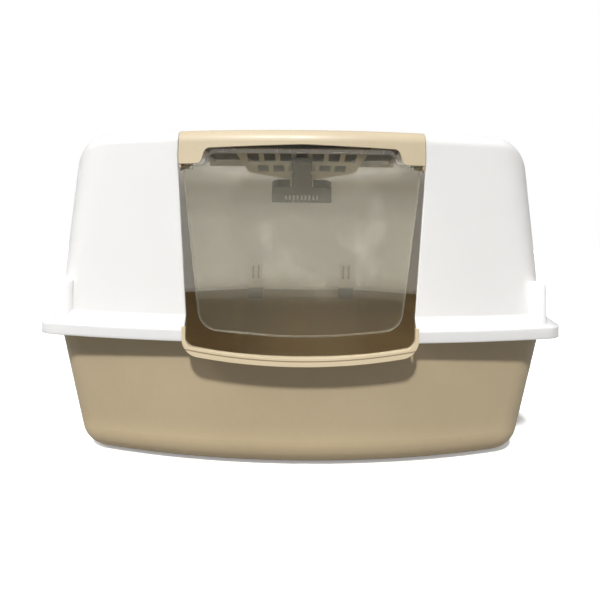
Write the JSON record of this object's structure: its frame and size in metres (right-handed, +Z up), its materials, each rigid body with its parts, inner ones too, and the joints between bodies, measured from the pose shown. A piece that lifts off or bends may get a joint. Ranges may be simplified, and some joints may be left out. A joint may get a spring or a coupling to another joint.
{
  "type": "hooded cat litter box",
  "caption": "Hooded corner litter box for cats: tray with a low entrance lip, lift-off hood, hinged front lid, two-way swing door, roof filter and scoop.",
  "frame": {"origin": "on the floor, under the middle of the whole box", "axes": "+Z up, -Y out of the front where the cat enters, +X to the right seen from the front"},
  "size_m": [0.678, 0.468, 0.4265],
  "materials": {
    "tan_tray": "fine-textured tan moulded plastic",
    "white_hood": "satin white moulded plastic",
    "white_clip": "satin white moulded plastic",
    "pin_white": "smooth white plastic pin",
    "tan_lid": "fine-textured tan moulded plastic",
    "grey_filter": "grey moulded plastic",
    "smoke_door": "clear smoke-tinted plastic",
    "pin_tan": "smooth tan plastic pin",
    "carbon_pad": "black carbon felt",
    "grey_scoop": "dark grey moulded plastic"
  },
  "bodies": {
    "base": {"tray": "tan_tray"},
    "hood": {"hood_shell": "white_hood", "lid_hinge_pin_left": "pin_white", "lid_hinge_pin_right": "pin_white", "rear_clip_left": "white_clip", "rear_clip_right": "white_clip"},
    "lid": {"front_lid": "tan_lid", "filter_frame": "grey_filter"},
    "door": {"door_panel": "smoke_door", "door_pin_left": "pin_tan", "door_pin_right": "pin_tan"},
    "filter": {"filter_cover": "grey_filter", "carbon_filter": "carbon_pad"},
    "scoop_body": {"scoop": "grey_scoop"}
  },
  "joints": [
    {"name": "hood_lift", "type": "slide", "parent": "base", "child": "hood", "axis": [0, 0, 1], "range_m": [0, 0.25]},
    {"name": "lid_hinge", "type": "hinge", "parent": "hood", "child": "lid", "pos_m": [0, 0.034, 0.422], "axis": [-1, 0, 0], "range_deg": [0, 100]},
    {"name": "door_swing", "type": "hinge", "parent": "lid", "child": "door", "pos_m": [0, -0.1805, 0.37], "axis": [1, 0, 0], "range_deg": [-75, 75]},
    {"name": "filter_drop", "type": "slide", "parent": "lid", "child": "filter", "axis": [0, 0, -1], "range_m": [0, 0.03]},
    {"name": "scoop_release", "type": "slide", "parent": "filter", "child": "scoop_body", "axis": [0, 0, -1], "range_m": [0, 0.12]}
  ]
}
